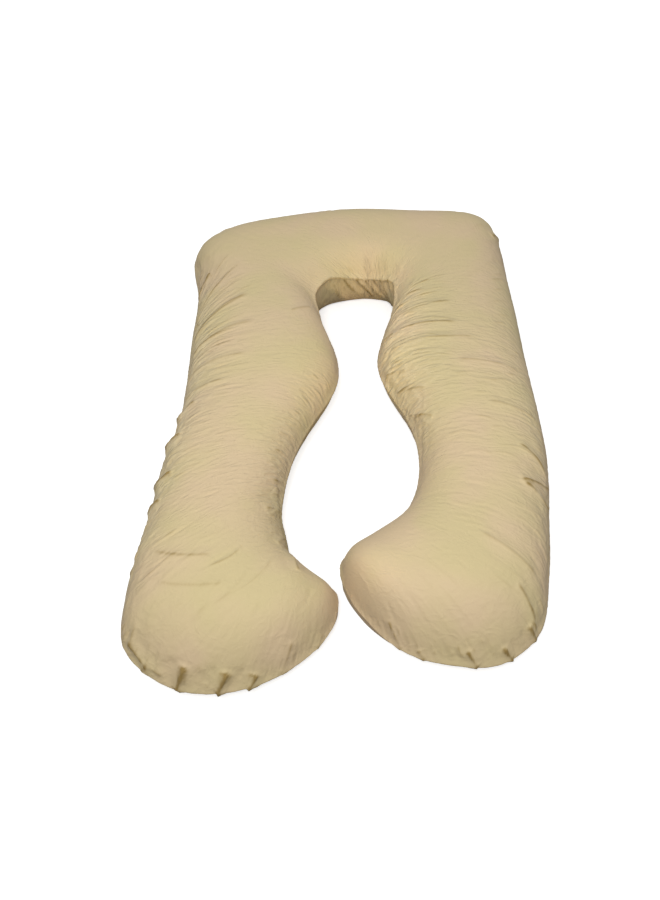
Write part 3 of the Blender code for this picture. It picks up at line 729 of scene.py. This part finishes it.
def khakiCotton():
    material = bpy.data.materials.new("plain-woven khaki cotton")
    material.use_nodes = True
    tree = material.node_tree
    shader = tree.nodes["Principled BSDF"]
    shader.inputs["Roughness"].default_value = cotton["roughness"]
    shader.inputs["Sheen Weight"].default_value = cotton["sheen"]
    shader.inputs["Sheen Roughness"].default_value = cotton["sheenRoughness"]
    shader.inputs["Specular IOR Level"].default_value = cotton["specular"]
    creasedShare = addNode(tree, "ShaderNodeAttribute", {"attribute_name": "creased"}).outputs["Fac"]
    hollow = addNode(tree, "ShaderNodeAttribute", {"attribute_name": "hollow"}).outputs["Fac"]

    # fine creases: sharp lines drawn out along the cloth's own creases, and a crumple without direction
    lay = addNode(tree, "ShaderNodeUVMap", {"uv_map": "creases"}).outputs["UV"]
    spread = (1 / cotton["lineLength"], 1 / cotton["lineSpacing"], 1)
    stretched = addNode(tree, "ShaderNodeMapping", {"Scale": spread}, {"Vector": lay}).outputs["Vector"]
    lines = addNode(tree, "ShaderNodeTexNoise",
                    {"noise_type": "RIDGED_MULTIFRACTAL", "normalize": False, "Scale": 1.0, "Detail": 2.0,
                     "Roughness": 0.45, "Distortion": 0.25, "Offset": 1.0, "Gain": 1.6},
                    {"Vector": stretched}).outputs["Fac"]
    lineShare = addNode(tree, "ShaderNodeMath", {"operation": "MULTIPLY"},
                        {0: lines, 1: creasedShare}).outputs[0]
    crumple = addNode(tree, "ShaderNodeTexNoise",
                      {"noise_type": "RIDGED_MULTIFRACTAL", "normalize": False,
                       "Scale": 1 / cotton["crumple"], "Detail": 2.0, "Roughness": 0.5, "Distortion": 0.6,
                       "Offset": 1.0, "Gain": 1.6},
                      {"Vector": lay}).outputs["Fac"]
    bump = addNode(tree, "ShaderNodeBump", {"Strength": 1.0, "Distance": cotton["lineRelief"]},
                   {"Height": lineShare})
    bump = addNode(tree, "ShaderNodeBump",
                   {"Strength": cotton["crumpleStrength"], "Distance": cotton["crumpleRelief"]},
                   {"Height": crumple, "Normal": bump.outputs["Normal"]})

    # warp and weft: two sets of even threads
    panel = addNode(tree, "ShaderNodeUVMap", {"uv_map": "panel"}).outputs["UV"]
    threadScale = 0.1 * math.pi / cotton["threads"]  # a wave texture repeats every pi / 10 over its scale
    for direction in ("X", "Y"):
        threads = addNode(tree, "ShaderNodeTexWave", {"bands_direction": direction, "Scale": threadScale},
                          {"Vector": panel})
        bump = addNode(tree, "ShaderNodeBump",
                       {"Strength": cotton["threadStrength"], "Distance": cotton["threadRelief"]},
                       {"Height": threads.outputs["Fac"], "Normal": bump.outputs["Normal"]})
    tree.links.new(bump.outputs["Normal"], shader.inputs["Normal"])

    # colour: the drift of the dye, then the pale raised edges, rubbed and a painted highlight, then painted
    # shade
    place = addNode(tree, "ShaderNodeTexCoord").outputs["Object"]
    drift = addNode(tree, "ShaderNodeTexNoise", {"Scale": 1 / cotton["drift"], "Detail": 2.0},
                    {"Vector": place})
    tint = addNode(tree, "ShaderNodeValToRGB", links={"Fac": drift.outputs["Fac"]})
    ramp = tint.color_ramp
    ramp.elements[0].position, ramp.elements[0].color = cotton["driftFrom"], linearColour(cotton["greenish"])
    ramp.elements[1].position, ramp.elements[1].color = cotton["driftTo"], linearColour(cotton["pinkish"])
    ramp.elements.new(0.5).color = linearColour(cotton["beige"])
    # paler raised edges: partly rubbed pale, partly a painted highlight where their crests catch the light
    wearAndHighlightFactor = addNode(tree, "ShaderNodeMapRange",
                   {"From Min": cotton["wearAndHighlightFrom"], "From Max": cotton["wearAndHighlightTo"],
                    "To Min": 0.0, "To Max": cotton["wearAndHighlightShare"]},
                   {"Value": lineShare}).outputs["Result"]
    wearAndHighlight = addNode(tree, "ShaderNodeMix", {"data_type": "RGBA", 7: linearColour(cotton["wearAndHighlight"])},
                   {"Factor": wearAndHighlightFactor, 6: tint.outputs["Color"]}).outputs[2]
    # painted shade: creases and folds turn towards the dark crease colour by how deep they lie
    depth = addNode(tree, "ShaderNodeMath", {"operation": "POWER", 1: cotton["paintedShadePower"]},
                    {0: hollow}).outputs[0]
    colour = addNode(tree, "ShaderNodeMix", {"data_type": "RGBA", 7: linearColour(cotton["crease"])},
                     {"Factor": depth, 6: wearAndHighlight}).outputs[2]
    tree.links.new(colour, shader.inputs["Base Color"])
    return material


mesh.materials.append(khakiCotton())
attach(cover, "root")
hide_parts("pillow")

# Floor and light: a white light table, soft light from all round and two soft lamps
studio = {
    "floor": "#e6e6e6",
    "floorGlow": 0.62,
    "above": 0.74,             # strength of the soft light from straight above, from the sides and from below
    "beside": 0.30,
    "below": 0.13,
    "belowTone": "#f8dcae",
    "belowTo": 0.42,           # the light turns from below to beside between these two, where 0 is straight
    "besideAt": 0.52,          # below and 1 straight above
}
# power, size, place, where it points, the width of its cone in degrees, and its tone
lamps = {
    "soft lamp": (190, 0.9, (-0.3, -1.9, 2.5), (0.04, 0.14, 0.1), 50, "#ffffff"),
    "neck lamp": (170, 0.25, (-0.12, -2.1, 0.62), (0.06, 0.465, 0.06), 4.8, "#ffdcaa"),  # for the arch's wall
}
floorMesh = bpy.data.meshes.new("floor")
floorMesh.from_pydata([(-8, -8, 0), (8, -8, 0), (8, 8, 0), (-8, 8, 0)], [], [(0, 1, 2, 3)])
floor = bpy.data.objects.new("floor", floorMesh)
scene.collection.objects.link(floor)
floor.visible_diffuse = False  # the table shows white and takes the shadow, but lights nothing from below
floor.visible_glossy = False
table = bpy.data.materials.new("white acrylic light table")
table.use_nodes = True
acrylic = table.node_tree.nodes["Principled BSDF"]
acrylic.inputs["Base Color"].default_value = linearColour(studio["floor"])
acrylic.inputs["Roughness"].default_value = 0.9
acrylic.inputs["Emission Color"].default_value = (1, 1, 1, 1)
acrylic.inputs["Emission Strength"].default_value = studio["floorGlow"]
floorMesh.materials.append(table)

world = bpy.data.worlds.new("studio")
scene.world = world
world.use_nodes = True
sky = world.node_tree
direction = addNode(sky, "ShaderNodeTexCoord").outputs["Generated"]
upward = addNode(sky, "ShaderNodeSeparateXYZ", links={"Vector": direction}).outputs["Z"]
rise = addNode(sky, "ShaderNodeMapRange", {"From Min": -1.0}, {"Value": upward}).outputs["Result"]
strength = addNode(sky, "ShaderNodeValToRGB", links={"Fac": rise})
belowTone = linearColour(studio["belowTone"])
stops = strength.color_ramp.elements
stops[0].position, stops[0].color = studio["belowTo"], [studio["below"] * c for c in belowTone[:3]] + [1]
stops[1].position, stops[1].color = 1.0, [studio["above"]] * 3 + [1]
stops.new(studio["besideAt"]).color = [studio["beside"]] * 3 + [1]
sky.links.new(strength.outputs["Color"], sky.nodes["Background"].inputs["Color"])


# A round soft spot lamp
def addLamp(name, power, size, place, aim, cone, tone):
    lamp = bpy.data.objects.new(name, bpy.data.lights.new(name, "SPOT"))
    lamp.data.energy = power
    lamp.data.color = linearColour(tone)[:3]
    lamp.data.shadow_soft_size = size / 2
    lamp.data.spot_size = math.radians(cone)
    lamp.data.spot_blend = 1.0
    lamp.location = place
    lamp.rotation_euler = (Vector(aim) - lamp.location).to_track_quat("-Z", "Y").to_euler()
    scene.collection.objects.link(lamp)


for name, settings in lamps.items():
    addLamp(name, *settings)
scene.view_settings.view_transform = "Standard"

# Camera: 48 degrees above the floor, looking towards the head end
view = {"target": (-0.036, -0.1294, 0.09), "elevation": 48, "distance": 2.52, "lens": 43.8}
elevation = math.radians(view["elevation"])
camera = bpy.data.objects.new("camera", bpy.data.cameras.new("camera"))
camera.data.lens = view["lens"]
camera.data.sensor_width = 36
camera.location = (
    view["target"][0],
    view["target"][1] - view["distance"] * math.cos(elevation),
    view["target"][2] + view["distance"] * math.sin(elevation),
)
camera.rotation_euler = (math.radians(90) - elevation, 0, 0)
scene.collection.objects.link(camera)
scene.camera = camera
